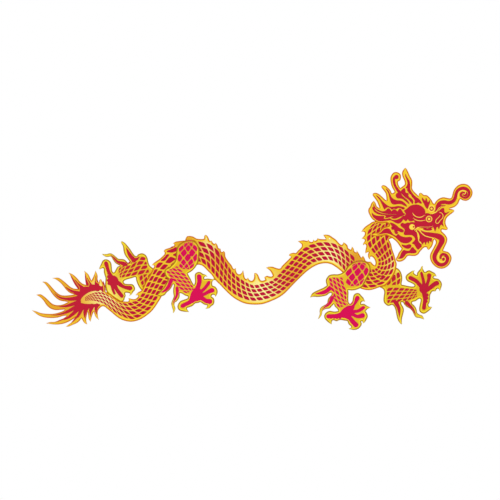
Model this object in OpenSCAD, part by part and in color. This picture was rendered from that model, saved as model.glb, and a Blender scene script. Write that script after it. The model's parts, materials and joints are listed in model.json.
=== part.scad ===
// Jointed dragon cut-out: seven foil-faced cards turning on five stepped rivets.
// Front faces -Y, head toward +X, up is +Z. Origin midway between the two hang holes.
// Every card outline is drawn about its own pivot, at a drawing length of 881 mm.

/* [Overall] */
// Overall length, whisker curl to tail tip (mm)
dragon_l = 914; // [600:2:1200]
// Thickness of every card (mm)
card_t = 0.6; // [0.4:0.1:1.2]
// Air between neighbouring card layers (mm)
layer_gap = 0.6; // [0.5:0.1:1.5]

/* [Rivets] */
// Diameter of the stud shank (mm)
stud_d = 3; // [2:0.1:5]
// Wall of the socket round the stud (mm)
socket_wall = 0.8; // [0.6:0.1:1.5]
// Width of the step that carries the outer card (mm)
step_w = 0.7; // [0.4:0.1:1.2]
// Diameter of the rivet flanges (mm)
flange_d = 8; // [8:0.5:16]
// Thickness of the rivet flanges (mm)
flange_t = 0.3; // [0.2:0.05:0.4]
// Radial clearance of a turning card (mm)
run_gap = 0.08; // [0.02:0.01:0.1]
// Free play of a card between its shoulders (mm)
end_gap = 0.25; // [0.05:0.05:0.3]

/* [Hanging] */
// Diameter of the two hang holes (mm)
hang_d = 3; // [2:0.5:5]

/* [Hidden] */
s = dragon_l / 881;
pitch = card_t + layer_gap;
half = card_t / 2;
hang = [123.4, 0] * s;
hip = [-158, -35] * s;
shoulder = [178, -71] * s;
chest = [230, -77] * s;
crown = [250, 21] * s;
flank = hip + [-58, -48] * s;
socket_d = stud_d + 2 * socket_wall;
step_d = socket_d + 2 * step_w;
soft = 3; // straight steps along each smooth stretch

// A point [x, z] is a smooth one; [x, z, 1] is a sharp tip or notch.
function pt(p, i) = let (q = p[(i + len(p)) % len(p)]) [q[0], q[1]];
function sharp(p, i) = len(p[(i + len(p)) % len(p)]) == 3;
function unit(v) = v / max(norm(v), 0.0001);
function way(p, i, chord) = sharp(p, i) ? unit(chord) : unit(pt(p, i + 1) - pt(p, i - 1));
function hermite(a, b, u, w, t) =
    a * (2 * t * t * t - 3 * t * t + 1) + b * (3 * t * t - 2 * t * t * t)
    + u * (t * t * t - 2 * t * t + t) + w * (t * t * t - t * t);
function outline(p) = [
    for (i = [0 : len(p) - 1])
        let (a = pt(p, i), b = pt(p, i + 1), c = b - a,
             u = way(p, i, c) * norm(c), w = way(p, i + 1, c) * norm(c))
            for (k = [0 : soft - 1]) hermite(a, b, u, w, k / soft) * s];
// Points on a round hidden end, from one angle to another.
function round_end(c, r, a0, a1, n) =
    [for (k = [0 : n]) let (a = a0 + (a1 - a0) * k / n) c + r * [cos(a), sin(a)]];

body_pts = concat([
    [-164, 2, 1], [-160.5, 5], [-150, 4], [-143, 0], [-133.5, -1], [-128, 0], [-127.5, 5],
    [-125, 7.5, 1], [-122, 6], [-119, 1.5], [-116, -5], [-113, -4, 1], [-109.5, -9.5], [-106, -10.5],
    [-105, -8, 1], [-101, -13.5], [-99, -19], [-95, -20.5, 1], [-93, -27], [-88.5, -25, 1],
    [-86, -28], [-85, -36.5], [-79.5, -45.5], [-72.5, -54], [-68.5, -61], [-64.5, -58.5, 1],
    [-63, -67.5], [-58.5, -71.5], [-54, -70], [-49.5, -63.5, 1], [-48, -72], [-46, -79],
    [-43, -81], [-40, -78, 1], [-37, -83], [-32, -84.5], [-28.5, -80.5], [-27.5, -72],
    [-28, -69.5, 1], [-24, -69], [-19.5, -73.5], [-15.5, -82.5], [-11.5, -84.5], [-5.5, -82.5, 1],
    [-7.5, -77.5, 1], [-2, -74.5], [3.5, -76], [9, -75], [7.5, -70], [3.5, -64], [-4, -58.5, 1],
    [1.5, -56.5], [9.5, -56.5], [16.5, -59], [24, -60], [28, -55], [37, -46], [46.5, -36.5, 1],
    [42, -34, 1], [43, -31], [51, -28.5], [55.5, -29], [60, -24], [67, -17], [67.5, -12],
    [65.5, -10], [60, -5.5, 1], [71, -3.5], [78, -5, 1], [81, -2.5, 1], [83.5, -6], [89, -6.5],
    [90.5, -2, 1], [93.5, -4.5], [97, -3], [99, 0.5, 1], [104.5, -1], [116, -1.5, 1], [110.5, 7, 1],
    [116, 7.8], [123, 6.5], [129, 2.5], [135.5, -2], [140, -7], [144.5, -11.5], [148, -12.5],
    [151, -7.5, 1], [155, -10], [159, -14], [160.5, -19.5], [166, -22.5, 1], [168, -16, 1],
    [171.5, -20.5], [173, -26], [177, -28, 1], [177.5, -24, 1], [182, -30.5], [186.5, -38.5, 1],
    [190, -34.5, 1], [193, -39], [196, -45], [203, -46.5], [205, -46], [210, -51.5], [214, -54, 1],
    [215, -48], [213, -42], [209, -37], [205, -36.5], [204, -42, 1], [200.5, -38], [200, -32],
    [201.5, -27, 1], [198, -28], [195, -30, 1], [194.5, -27], [195.5, -20.5], [196.5, -14.5],
    [194.5, -11.5], [190, -13.5, 1], [190.5, -9.5], [193.5, -4.5], [192.5, -1.5], [187, -0.5, 1],
    [190.5, 3.5], [193, 7], [193.5, 12], [190.5, 13.5], [186.5, 13.5, 1], [190.5, 19.5],
    [195.5, 24.5], [203, 29.5], [208, 33], [218, 35], [228, 33]],
    round_end([250, 21], 19, 130, -80, 5), [[242, -2],
    [244, -6], [246.5, -12], [248, -19.5], [250.5, -27], [253, -34], [255.5, -44], [257.5, -51],
    [256.5, -58], [255, -65], [252, -72], [246, -82], [240, -89], [233, -95], [227, -96.5],
    [219, -99], [210.5, -102], [200.5, -103.5], [190.5, -102], [184, -99.5], [168, -91],
    [156, -77], [149, -68], [142, -62], [134, -56], [126, -51.5], [116, -49.5], [104, -51],
    [94, -55], [84, -61], [74, -69], [55.5, -87], [44, -99], [32.5, -110.5], [21, -118.5],
    [9.5, -124], [-4.5, -129.5], [-16, -132], [-34.5, -132], [-48, -129.5], [-60, -124],
    [-71.5, -116.5], [-83, -106], [-94.5, -94], [-106, -82.5], [-113, -72.5], [-121.5, -64],
    [-130, -55.5], [-138, -52.5]],
    round_end([-158, -35], 20, -80, -225, 4), [[-168, -10, 1]]);

head_pts = [
    [-39.5, 16], [-43.5, 20], [-47, 26], [-49.5, 32.5], [-49, 38.5], [-46, 42.5], [-43.5, 49.5],
    [-38.5, 54.5, 1], [-35, 50], [-32.5, 43.5], [-27, 39.5, 1], [-29.5, 47], [-32.5, 53.5],
    [-37, 60], [-41, 66.5], [-38.5, 70], [-32.5, 70], [-27, 67], [-20, 61], [-15, 56], [-13, 55, 1],
    [-13.5, 62], [-15, 69.5], [-19.5, 76], [-23.5, 82], [-21, 85.5], [-16, 85], [-9.5, 80],
    [-4.5, 74.5], [-2, 69.5], [3, 72, 1], [1.5, 75], [-2.5, 82.5], [-5, 92.5], [-5, 102], [0, 110],
    [6.5, 112], [14, 108.5], [16, 102], [14, 95], [10, 92.5], [11, 86], [14.5, 80, 1], [20.5, 84.5],
    [23.5, 87.5], [22.5, 94.5], [19, 102.5], [18, 111], [21.5, 117.5], [25, 120], [29.5, 113.5],
    [34, 103.5], [38, 96], [38.5, 86], [38, 79.5], [41.5, 73.5], [46.5, 68.5], [51.5, 63.5, 1],
    [52, 68.5], [55.5, 70.5], [61.5, 66, 1], [67.5, 65.5], [73, 61], [77.5, 55], [80.5, 49.5],
    [83, 48.5, 1], [85, 52.5], [90, 57.5], [95.5, 60.5], [101.5, 61.5], [109, 60], [115, 59.5],
    [117.5, 62.5], [119, 68.5], [121.5, 76], [126.5, 82.5], [133, 87], [141.5, 88.5], [150, 86],
    [155.5, 80], [159, 72.5], [158, 65], [154, 58.5], [147.5, 54.5], [140, 55], [134.5, 58, 1],
    [132.5, 54.5], [130, 48.5], [124, 42.5], [118, 40], [112, 38.7, 1], [117.5, 37.5],
    [122.5, 35], [120, 31], [114, 26.5], [108, 21], [105.5, 16], [105, 10], [106.5, 4.5],
    [109.5, -1], [107, -4], [101, -3.5], [97.5, -3, 1], [97, -6], [101, -10], [105.5, -15],
    [108.5, -21], [107.5, -28.5], [104, -36.5], [100, -45, 1], [105, -46.5], [110, -48],
    [114.5, -52.5], [117, -59], [116, -66], [112, -73.5], [105.5, -79], [97.5, -81.5], [89.5, -80],
    [82.5, -75.5], [77, -69], [74, -61], [74, -53.5], [77, -46.5], [80.5, -40], [83.5, -34],
    [85.5, -29.5], [85, -26], [82.5, -22.5, 1], [81, -26], [80, -31], [78, -36.5], [74, -41.5],
    [71, -44, 1], [68, -41], [66.5, -38.5], [61.5, -39.5], [57, -44], [53.5, -48], [51, -52],
    [45.5, -55.5], [38.5, -56], [29.5, -56], [25, -61.5], [20, -65.5], [14, -67.5], [8, -66.5],
    [5, -62, 1], [9, -55], [11.5, -49], [16, -43.5], [17, -41, 1], [14, -37.5], [9, -30],
    [3, -24], [-2.5, -20], [-7.5, -17.5], [-14, -14.5], [-24, -16], [-34, -16.5], [-43, -14, 1],
    [-38, -10], [-30, -9], [-25, -4], [-20, 1], [-14, 3], [-8, 5], [-9, 8], [-14, 10.5],
    [-20, 9.5], [-30, 10.5]];

rear_pts = concat([
    [14, 29], [2, 32], [-9, 31], [-19, 30], [-27.5, 28.5], [-32, 25, 1], [-29, 22], [-35.5, 17.5],
    [-47.5, 13.5], [-50.5, 10, 1], [-48.5, 5], [-54, -1.5], [-59, -6], [-65, -10], [-70.5, -14],
    [-74.5, -18.5, 1], [-69.5, -19.5], [-72.5, -26], [-77, -36], [-82, -44], [-87, -52], [-90, -59],
    [-95, -68.5], [-101.5, -72.5], [-107, -78.5, 1], [-101.5, -79], [-103.5, -83], [-108, -86],
    [-113, -86], [-121, -84, 1], [-120.5, -90], [-125.5, -91], [-132, -90.5], [-138, -90],
    [-144, -86.5], [-150, -82], [-156, -76.5], [-162, -74], [-167, -71, 1],
    [-168, -60], [-171, -55], [-176, -46, 1], [-179, -48], [-180, -53, 1], [-183, -49],
    [-182.5, -41], [-184, -35], [-187, -29.5, 1], [-189, -36], [-192, -43], [-195, -49, 1],
    [-198, -43], [-200.5, -37.5], [-205, -33], [-209.5, -29.5, 1], [-207.5, -38], [-206.5, -46],
    [-203, -54], [-201.5, -58, 1], [-210, -56.5], [-217, -52], [-224, -44], [-232, -37],
    [-241, -33, 1], [-235, -42], [-230, -51], [-224, -60], [-220, -65.5, 1], [-230, -65],
    [-238, -61], [-246, -54], [-254, -47.5], [-261, -43.5], [-268, -43.5], [-273.5, -44, 1],
    [-267, -46.5], [-260, -51], [-253, -58], [-246, -67], [-238, -74], [-229, -77, 1], [-246, -79],
    [-256, -78], [-263, -74], [-271, -66], [-278, -58], [-285, -52], [-293, -51.5, 1], [-288, -55.5],
    [-282, -63], [-276, -72], [-268, -82], [-258, -89], [-248, -91], [-242, -92, 1], [-250, -96],
    [-258, -98], [-266, -98], [-274, -95], [-282, -87.5], [-290, -80.5], [-297, -76.5],
    [-305.5, -77.5, 1], [-298, -82], [-291, -89], [-285, -98], [-277, -105], [-268, -108],
    [-260, -108], [-248, -107, 1], [-252, -110], [-262, -113.5], [-272, -115.5], [-284, -115.5],
    [-296, -114], [-306, -110.5], [-314, -108.5, 1], [-306, -115], [-298, -120], [-288, -123],
    [-274, -124], [-262, -123], [-252, -120], [-244, -119, 1], [-250, -124], [-258, -128],
    [-268, -131.5], [-278, -132], [-285.5, -134.5, 1], [-274, -136.5], [-262, -137], [-252, -135.5],
    [-244, -133], [-236, -129], [-228, -124], [-224, -121, 1], [-228, -126], [-234, -132],
    [-241, -137], [-246.5, -141.5, 1], [-240, -141], [-232, -137.5], [-224, -134], [-219, -130],
    [-215, -124.5, 1], [-212.5, -129], [-209, -134], [-203.5, -137, 1], [-205.5, -128],
    [-204.5, -120], [-202.5, -111, 1], [-201.5, -119], [-200.5, -126], [-197, -131.5, 1],
    [-195, -124], [-192.5, -116], [-190, -111, 1], [-188.5, -118], [-185, -123.5], [-180, -128, 1],
    [-181.5, -123], [-182.5, -116], [-182, -110], [-179, -105], [-174, -101], [-169.5, -101],
    [-163, -106], [-155.5, -112], [-144.5, -121.5], [-135.5, -127], [-127, -130], [-117, -131.5],
    [-106, -130], [-95.5, -126], [-84.5, -119], [-74.5, -110.5], [-67, -101], [-60.5, -91],
    [-56, -83.5], [-48, -68], [-36, -50], [-22, -34], [-8, -22], [6, -16]],
    round_end([0, 0], 17, -45, 45, 3));

near_front_pts = [
    [-24, 7], [-19, 15], [-12, 21], [-4, 25], [6, 27], [16, 25.6], [23, 21], [26.6, 14], [26.6, 6],
    [23.6, -2], [19, -10], [15, -18], [11, -25], [6, -28.5], [-3, -32], [-12, -33], [-17.5, -32, 1],
    [-17, -38], [-17, -56], [-13, -59.5], [-9.5, -54.5], [-8, -46.5], [-6, -41], [-0.5, -38],
    [5, -39], [8.5, -43], [13, -48], [16, -55.5, 1], [12, -54.5], [8.5, -57], [8, -60, 1],
    [14, -59.5], [18.5, -62.5], [27, -67, 1], [21, -70], [17, -74.5, 1], [20, -78.5], [21.5, -85],
    [19, -91], [15.5, -96.5], [11.5, -99, 1], [11, -95], [7.5, -95, 1], [9.5, -99], [8, -104],
    [2, -110], [-7, -112], [-16.5, -109.5, 1], [-11.5, -106], [-16.5, -101], [-19.5, -94, 1],
    [-26.5, -93], [-34, -92], [-41, -94.5], [-48, -92.5], [-50.5, -96], [-50.5, -101, 1],
    [-55, -98.5], [-60.5, -94], [-65, -88.5], [-65.5, -82], [-61.5, -76.5], [-54.5, -73.5],
    [-45.5, -75], [-38, -74, 1], [-39, -70.5], [-44.5, -65], [-46, -60, 1], [-51, -65], [-55, -69],
    [-62.5, -70], [-69, -74], [-70, -79.5], [-72.5, -85], [-78, -90, 1], [-74.5, -79.5],
    [-75, -73.5], [-72.5, -67], [-66, -62.5], [-60, -59], [-59, -53.5], [-57, -48], [-51, -41],
    [-51.5, -37.5, 1], [-55, -38.5], [-61.5, -43], [-69.5, -45], [-78.5, -46], [-87.5, -45.5],
    [-94, -47, 1], [-90, -39], [-84, -35], [-75.5, -31], [-67.5, -27.5], [-60.5, -23, 1],
    [-62.5, -14], [-61, -8.5], [-56, -2.5], [-48, -0.5], [-39, -0.5], [-33, 1], [-28.5, 3.5]];

far_front_pts = concat([
    [26, 19], [32.5, 15], [36.5, 8.5], [38.5, 1], [38.5, -6.5], [37.5, -15], [41.5, -16],
    [50.5, -18], [59, -19], [63, -17.5], [60, -14], [55, -11.5], [49, -8.5], [45.5, -3.5],
    [45.5, 1.5], [49, 6], [54, 9.5], [59, 12.5], [64, 13, 1], [61.5, 9], [64, 6], [68, 3.5, 1],
    [68.5, 8.5], [71.5, 12.5], [75, 16.5], [77, 21], [80, 22, 1], [79.5, 17.5], [81.5, 13.5],
    [84, 10], [87.5, 12], [92.5, 13.5], [98, 11], [104, 7.5], [107.5, 1, 1], [103, 1.5],
    [101, -1, 1], [104, -2.5], [110, -3.5], [115, -7.5], [118, -14], [116.5, -21.5],
    [113.5, -29, 1], [111.5, -24], [108, -24], [105, -28.5], [99, -29], [96.5, -32.5],
    [94.5, -36.5], [94, -45], [93, -51.5], [91, -55], [92, -59, 1], [98.5, -60, 1], [95, -65],
    [89, -70], [83, -73.5], [77.5, -72.5], [73, -68.5], [72.5, -61.5], [74, -53.5], [75.5, -46],
    [74, -43.5], [70, -45], [65, -48.5], [59, -50], [58, -52.5], [64, -58.5], [67.5, -66],
    [68.5, -71.5], [73, -75], [79, -77.5], [82.5, -85, 1], [79, -84], [73, -82], [66.5, -81],
    [62.5, -76.5], [59, -69], [54, -63.5], [47.5, -60], [42.5, -55], [40, -51], [36.5, -50.5, 1],
    [37, -54], [40.5, -60], [42, -66], [40.5, -74], [38, -84], [38, -95, 1], [35, -93.5],
    [30, -86.5], [27, -76.5], [25, -66], [22, -59], [18, -56], [11.5, -58], [6.5, -56], [2, -51],
    [1, -46], [1.5, -38.5], [2.5, -30], [0, -24]],
    round_end([0, 0], 21, -120, -280, 4), [[14, 21.5]]);

near_hind_pts = [
    [-22, 20], [-16, 26], [-8, 30], [2, 31.5], [12, 29], [19, 20], [21, 9.5], [20, -1.5],
    [18.5, -12], [13.5, -22], [6, -30], [-2.5, -35, 1], [3, -45], [7, -53], [10, -58, 1],
    [12, -52], [11.5, -42], [12, -36.5], [16, -32.5], [22.5, -32], [28, -35.5], [33.5, -37.5],
    [37, -41.5, 1], [32, -41], [30.5, -44], [31, -46, 1], [36.5, -45], [42, -45.5], [52.5, -47, 1],
    [47.5, -50], [46.5, -56], [47.5, -59.5, 1], [53, -61.5], [57, -68], [57, -74.5], [53.5, -81.5, 1],
    [51, -78], [46.5, -78], [45, -81, 1], [49.5, -84.5], [51, -90], [49.5, -96.5], [44, -101],
    [41, -104], [33, -105.5, 1], [35.5, -102], [36.5, -98.5, 1], [31, -97.5], [25.5, -94],
    [22.5, -92.5], [18, -94], [12.5, -95], [7, -100], [-0.5, -103], [-4, -104.5], [0, -112, 1],
    [-9, -111.5], [-19, -109], [-23, -103], [-22, -96.5], [-17, -90], [-8, -86.5], [-2.5, -84],
    [-2, -81, 1], [-8, -79], [-13.5, -75.5], [-18.5, -74, 1], [-19, -83], [-24.5, -91], [-28, -93],
    [-29, -98.5], [-27, -105], [-30, -113], [-32, -114, 1], [-32, -108.5], [-34, -102],
    [-35.5, -95], [-33, -87.5], [-30.5, -81], [-31.5, -73.5], [-31.5, -65], [-30, -58],
    [-32, -56.5, 1], [-34, -61.5], [-38.5, -68], [-44, -72.5], [-48.5, -78], [-57, -81],
    [-63, -78, 1], [-57, -69], [-51, -63], [-46, -55], [-43, -49], [-41, -45.5, 1], [-45, -43],
    [-48, -37], [-49, -31], [-46, -25.5], [-40, -23], [-36, -19], [-30, -13], [-26.5, -5],
    [-25.5, 4], [-25, 12]];

far_hind_pts = concat([
    [-48, 47.5], [-43.5, 51.5], [-36, 53.5], [-29, 50.5], [-25, 44], [-23, 35], [-19.5, 28]],
    round_end([0, 0], 22, 110, -110, 5), [
    [-16, -26], [-28, -25], [-37, -20.5], [-41.5, -15], [-45.5, -7], [-48, 0.5], [-49, 5.5],
    [-55, 4], [-62.5, 2], [-68.5, 0], [-72.5, -3], [-70.5, -7], [-62.5, -8], [-55, -8.5],
    [-50.5, -14], [-50, -19.5], [-54, -24.5], [-57, -29], [-62, -32, 1], [-60, -27.5],
    [-63.5, -26], [-69.5, -26], [-68.5, -31], [-70.5, -36], [-72, -41], [-78, -44], [-86, -40],
    [-96, -34], [-106, -25], [-109, -16], [-110, -10], [-109, 3.5], [-111, 10], [-112.5, 17],
    [-112.5, 22.5], [-115.5, 23.5], [-120.5, 21, 1], [-121.5, 23.5], [-117.5, 33], [-114.5, 39],
    [-109, 41.5], [-103, 40], [-98, 35], [-96.5, 27.5], [-95.5, 18.5], [-92.5, 15], [-89, 20],
    [-85, 26.5], [-80, 28.5, 1], [-84, 30.5], [-89.5, 34], [-94.5, 41], [-98, 46.5], [-105, 46],
    [-111, 47.5], [-116, 52, 1], [-107, 52], [-99, 53.5], [-93.5, 51], [-87.5, 46], [-83, 42.5],
    [-75, 42], [-69.5, 40], [-63.5, 34], [-60, 36, 1], [-65.5, 43], [-70.5, 50.5], [-73, 59],
    [-74, 67], [-78, 75.5], [-76.5, 78, 1], [-70.5, 74.5], [-64.5, 68], [-59, 61], [-54, 53.5]]);

// A flat card whose middle plane lies at depth y, shifted to its pivot, with round holes.
// holes = list of [x, z, diameter] in the part's own frame.
module card(pts, at, y, holes) {
    difference() {
        translate([at[0], y + half, at[1]]) rotate([90, 0, 0]) linear_extrude(card_t) polygon(outline(pts));
        for (h = holes) bar([h[0], h[1]], h[2], y - half - 1, y + half + 1);
    }
}
// A round bar along the depth, from y0 to y1.
module bar(at, d, y0, y1) {
    translate([at[0], y1, at[1]]) rotate([90, 0, 0]) cylinder(d = d, h = y1 - y0, $fn = 48);
}
function run(d) = d + 2 * run_gap;

// Stud: a flange beyond the outer card at depth y and a shank back to depth y_in.
// side = -1 for a stud put in from the front, +1 from the back.
module stud(at, y, y_in, side) {
    face = y + side * (half + end_gap);
    bar(at, flange_d, min(face, face + side * flange_t), max(face, face + side * flange_t));
    bar(at, stud_d, min(face, y_in), max(face, y_in));
}
// Socket: flange against the fixed card at depth y, barrel through it to the outer card.
// side = -1 when the outer card lies in front, +1 when it lies behind.
module socket(at, y, side) {
    back = y - side * half;
    flange_end = back - side * flange_t;
    barrel_end = y + side * (pitch - half - end_gap);
    difference() {
        union() {
            bar(at, flange_d, min(back, flange_end), max(back, flange_end));
            bar(at, socket_d, min(back, barrel_end), max(back, barrel_end));
        }
        bar(at, stud_d, min(back, barrel_end + side), max(back, barrel_end + side));
    }
}

module body_card() color("gold")
    card(body_pts, [0, 0], 0, [
        [-hang[0], hang[1], hang_d], [hang[0], hang[1], hang_d],
        [crown[0], crown[1], socket_d], [shoulder[0], shoulder[1], socket_d],
        [chest[0], chest[1], socket_d], [hip[0], hip[1], step_d]]);
module head_card() color("gold")
    card(head_pts, crown, -pitch, [[crown[0], crown[1], run(stud_d)]]);
module rear_card() color("gold")
    card(rear_pts, hip, -pitch, [[hip[0], hip[1], run(socket_d)], [flank[0], flank[1], socket_d]]);
module near_front_leg() color("goldenrod")
    card(near_front_pts, shoulder, -pitch, [[shoulder[0], shoulder[1], run(stud_d)]]);
module far_front_leg() color("goldenrod")
    card(far_front_pts, chest, pitch, [[chest[0], chest[1], run(stud_d)]]);
module near_hind_leg() color("goldenrod")
    card(near_hind_pts, hip, -2 * pitch, [[hip[0], hip[1], run(stud_d)]]);
module far_hind_leg() color("goldenrod")
    card(far_hind_pts, flank, 0, [[flank[0], flank[1], run(stud_d)]]);

module head_stud() color("crimson") stud(crown, -pitch, half - end_gap, -1);
module head_socket() color("crimson") socket(crown, 0, -1);
module shoulder_stud() color("crimson") stud(shoulder, -pitch, half - end_gap, -1);
module shoulder_socket() color("crimson") socket(shoulder, 0, -1);
module chest_stud() color("crimson") stud(chest, pitch, end_gap - half, 1);
module chest_socket() color("crimson") socket(chest, 0, 1);
module hip_stud() color("crimson") stud(hip, -2 * pitch, half - end_gap, -1);
// The hip socket has a second step: wide through the body card, narrower through the rear card.
module hip_socket() color("crimson") difference() {
    union() {
        bar(hip, flange_d, half, half + flange_t);
        bar(hip, step_d, -pitch + half + end_gap, half);
        bar(hip, socket_d, -2 * pitch + half + end_gap, half);
    }
    bar(hip, stud_d, -2 * pitch, half);
}
module flank_stud() color("crimson") stud(flank, 0, -pitch - half + end_gap, 1);
module flank_socket() color("crimson") socket(flank, -pitch, 1);

body_card();
head_card();
rear_card();
near_front_leg();
far_front_leg();
near_hind_leg();
far_hind_leg();
head_stud();
head_socket();
shoulder_stud();
shoulder_socket();
chest_stud();
chest_socket();
hip_stud();
hip_socket();
flank_stud();
flank_socket();
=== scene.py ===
# %% [markdown]
# # A hanging dragon cut-out
# The real thing is a party decoration: seven flat pieces of thin card, laminated with gold foil, printed in
# crimson, die-cut and riveted together so that the head, the tail end and the four legs swing.
# The flat cards and the rivets are there already. What follows adds what the print adds: rows of scales,
# flames, horns, claws, and a raised gold border, each as a thin relief standing on its card.

# %% Load the flat parts
import json
import bpy
import numpy as np
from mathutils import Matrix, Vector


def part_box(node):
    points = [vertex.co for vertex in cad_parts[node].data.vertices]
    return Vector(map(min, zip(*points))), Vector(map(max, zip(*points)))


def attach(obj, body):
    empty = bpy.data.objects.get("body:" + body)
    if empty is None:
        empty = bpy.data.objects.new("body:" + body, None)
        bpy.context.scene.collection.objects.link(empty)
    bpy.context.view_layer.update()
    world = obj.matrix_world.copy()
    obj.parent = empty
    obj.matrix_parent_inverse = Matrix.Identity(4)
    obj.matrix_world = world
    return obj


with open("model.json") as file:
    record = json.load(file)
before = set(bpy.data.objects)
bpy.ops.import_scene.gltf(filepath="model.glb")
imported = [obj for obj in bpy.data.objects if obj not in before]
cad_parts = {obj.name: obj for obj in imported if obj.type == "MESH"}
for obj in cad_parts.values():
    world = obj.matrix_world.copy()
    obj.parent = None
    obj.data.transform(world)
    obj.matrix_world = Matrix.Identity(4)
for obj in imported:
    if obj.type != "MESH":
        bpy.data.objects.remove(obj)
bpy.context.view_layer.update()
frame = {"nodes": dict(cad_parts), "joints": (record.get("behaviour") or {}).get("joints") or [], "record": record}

# %% [markdown]
# The camera comes first, so that everything can be judged from one fixed place. The dragon hangs flat and is
# looked at squarely. A near camera would make its middle look larger than its ends. A parallel camera would
# avoid that too, but a camera far away with a long lens sees it as people do from across a room.

# %% Camera
camera = bpy.data.objects.new("camera", bpy.data.cameras.new("camera"))
bpy.context.scene.collection.objects.link(camera)
camera.location = (-0.03735, -4.0, -0.02386)
camera.rotation_euler = (np.pi / 2, 0, 0)
camera.data.lens = 138.8
bpy.context.scene.camera = camera
print("camera at", tuple(camera.location))

# %% [markdown]
# On the real thing every card turns on a rivet. The print could be laid out in metres over the whole dragon,
# but then a change to one leg's place would spoil all its print. So every shape is drawn in small drawing
# units about the rivet that its card turns on. Two rivets whose distance on the drawing is known give the
# size of a unit in metres.

# %% Rivets and drawing unit
HIP_TO_HEAD = 408
rivet = {}
for joint in frame["joints"]:
    rivet[joint["name"]] = np.array(joint["pos_m"], float)[[0, 2]]
unit = (rivet["head_tilt"][0] - rivet["tail_swing"][0]) / HIP_TO_HEAD
PIVOT = {
    "body_card": np.zeros(2),
    "head_card": rivet["head_tilt"],
    "rear_card": rivet["tail_swing"],
    "near_front_leg": rivet["near_front_leg_swing"],
    "far_front_leg": rivet["far_front_leg_swing"],
    "near_hind_leg": rivet["near_hind_leg_swing"],
    "far_hind_leg": rivet["far_hind_leg_swing"],
}
BODY = {}
for body, members in frame["record"]["behaviour"]["bodies"].items():
    for member in members:
        BODY[member] = body
print("one drawing unit is", round(unit * 1000, 4), "mm")

# %% [markdown]
# The outlines on the card are soft curves with a few sharp tips, like brush strokes. Bezier curves could draw
# them, but each point would need two handles. A Hermite curve needs only the points: it leaves each one
# in the direction of its neighbours, and a tip marked T leaves straight towards the next point instead.

# %% Smooth lines through a few points
T = True


def unit_length(v):
    """v divided by its length."""
    return v / np.maximum(np.linalg.norm(v, axis=-1, keepdims=True), 1e-9)


def smooth(points, closed=True, steps=3):
    """P(t) = h00 P0 + h10 m0 + h01 P1 + h11 m1 on each span, with m as long as the span."""
    p = np.array([q[:2] for q in points], float)
    sharp = np.array([len(q) > 2 and q[2] is T for q in points])[:, None]
    ahead = np.roll(p, -1, 0) - p
    behind = np.roll(ahead, 1, 0)
    if not closed:
        ahead[-1] = behind[-1]
        behind[0] = ahead[0]
    way = unit_length(unit_length(ahead) + unit_length(behind))
    leave = np.where(sharp, unit_length(ahead), way)
    arrive = np.where(sharp, unit_length(behind), way)
    reach = np.linalg.norm(ahead, axis=1)[:, None, None]
    t = (np.arange(steps) / steps)[None, :, None]
    start, end = p[:, None], np.roll(p, -1, 0)[:, None]
    m0, m1 = leave[:, None] * reach, np.roll(arrive, -1, 0)[:, None] * reach
    curve = (2 * t**3 - 3 * t**2 + 1) * start + (t**3 - 2 * t**2 + t) * m0
    curve = curve + (3 * t**2 - 2 * t**3) * end + (t**3 - t**2) * m1
    if closed:
        return curve.reshape(-1, 2)
    return np.vstack([curve[:-1].reshape(-1, 2), p[-1]])


def tidy_loop(loop):
    """The closed loop without doubled points, turning anticlockwise."""
    apart = np.linalg.norm(loop - np.roll(loop, 1, 0), axis=1) > 0.02
    loop = loop[apart]
    x, z = loop.T
    area = np.sum(x * np.roll(z, -1) - z * np.roll(x, -1))
    return loop if area > 0 else loop[::-1]


print("a square smoothed has", len(smooth([(0, 0), (1, 0), (1, 1), (0, 1)])), "points")


# %% Strokes and discs
def stroke(*points):
    """A brush stroke: points are x, z and the width there; round where it ends wide, sharp at width 0."""
    path = smooth([q[:2] for q in points], closed=False)
    width = np.interp(np.arange(len(path)) / 3, np.arange(len(points)), [q[2] for q in points])
    way = unit_length(np.gradient(path, axis=0))
    side = np.stack([-way[:, 1], way[:, 0]], 1)
    half = width[:, None] / 2
    turn = np.linspace(0, np.pi, 7)[1:-1, None]
    far_cap = path[-1] + half[-1] * (np.cos(turn) * side[-1] + np.sin(turn) * way[-1])
    near_cap = path[0] - half[0] * (np.cos(turn) * side[0] + np.sin(turn) * way[0])
    return np.vstack([path + side * half, far_cap, (path - side * half)[::-1], near_cap])


def disc(x, z, r, steps=20):
    """(x + r cos a, z + r sin a)."""
    a = np.arange(steps) / steps * 2 * np.pi
    return np.stack([x + r * np.cos(a), z + r * np.sin(a)], 1)


print("a drop has", len(tidy_loop(stroke((0, 0, 4), (10, 2, 0)))), "points round it")

# %% [markdown]
# The print on the real card is a thick film that stands a little above the foil. A flat colour pattern
# could show it, but a thin pad with sloping sides has a crisp edge at any distance and catches the light.
# How far a slope may run inwards depends on the shape: in a narrow tip the slopes of the two sides must not
# cross. The largest circle that touches the edge from inside at a point tells how much room there is.

# %% Room inside an outline
def inward(loop):
    """Unit normals that point into an anticlockwise loop."""
    way = unit_length(np.roll(loop, -1, 0) - np.roll(loop, 1, 0))
    return np.stack([-way[:, 1], way[:, 0]], 1)


def room(loop):
    """Radius of the touching circle at each point: the least |d|^2 / (2 n.d) over the other points."""
    n = inward(loop)
    d = loop[None] - loop[:, None]
    along = np.einsum("ijk,ik->ij", d, n)
    square = np.einsum("ijk,ijk->ij", d, d)
    radius = np.where(along > 1e-3, square / (2 * np.maximum(along, 1e-3)), 1e6)
    return radius.min(1)


def rings(loop, offsets):
    """The loop moved inwards by each offset, as far as there is room."""
    n, r = inward(loop), room(loop) * 0.8
    r = np.min([np.roll(r, k) for k in (-2, -1, 0, 1, 2)], axis=0)
    return [loop + n * np.minimum(offset, r)[:, None] for offset in offsets]


print("room inside a disc of radius 5:", round(float(room(disc(0, 0, 5)).min()), 2))


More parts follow.
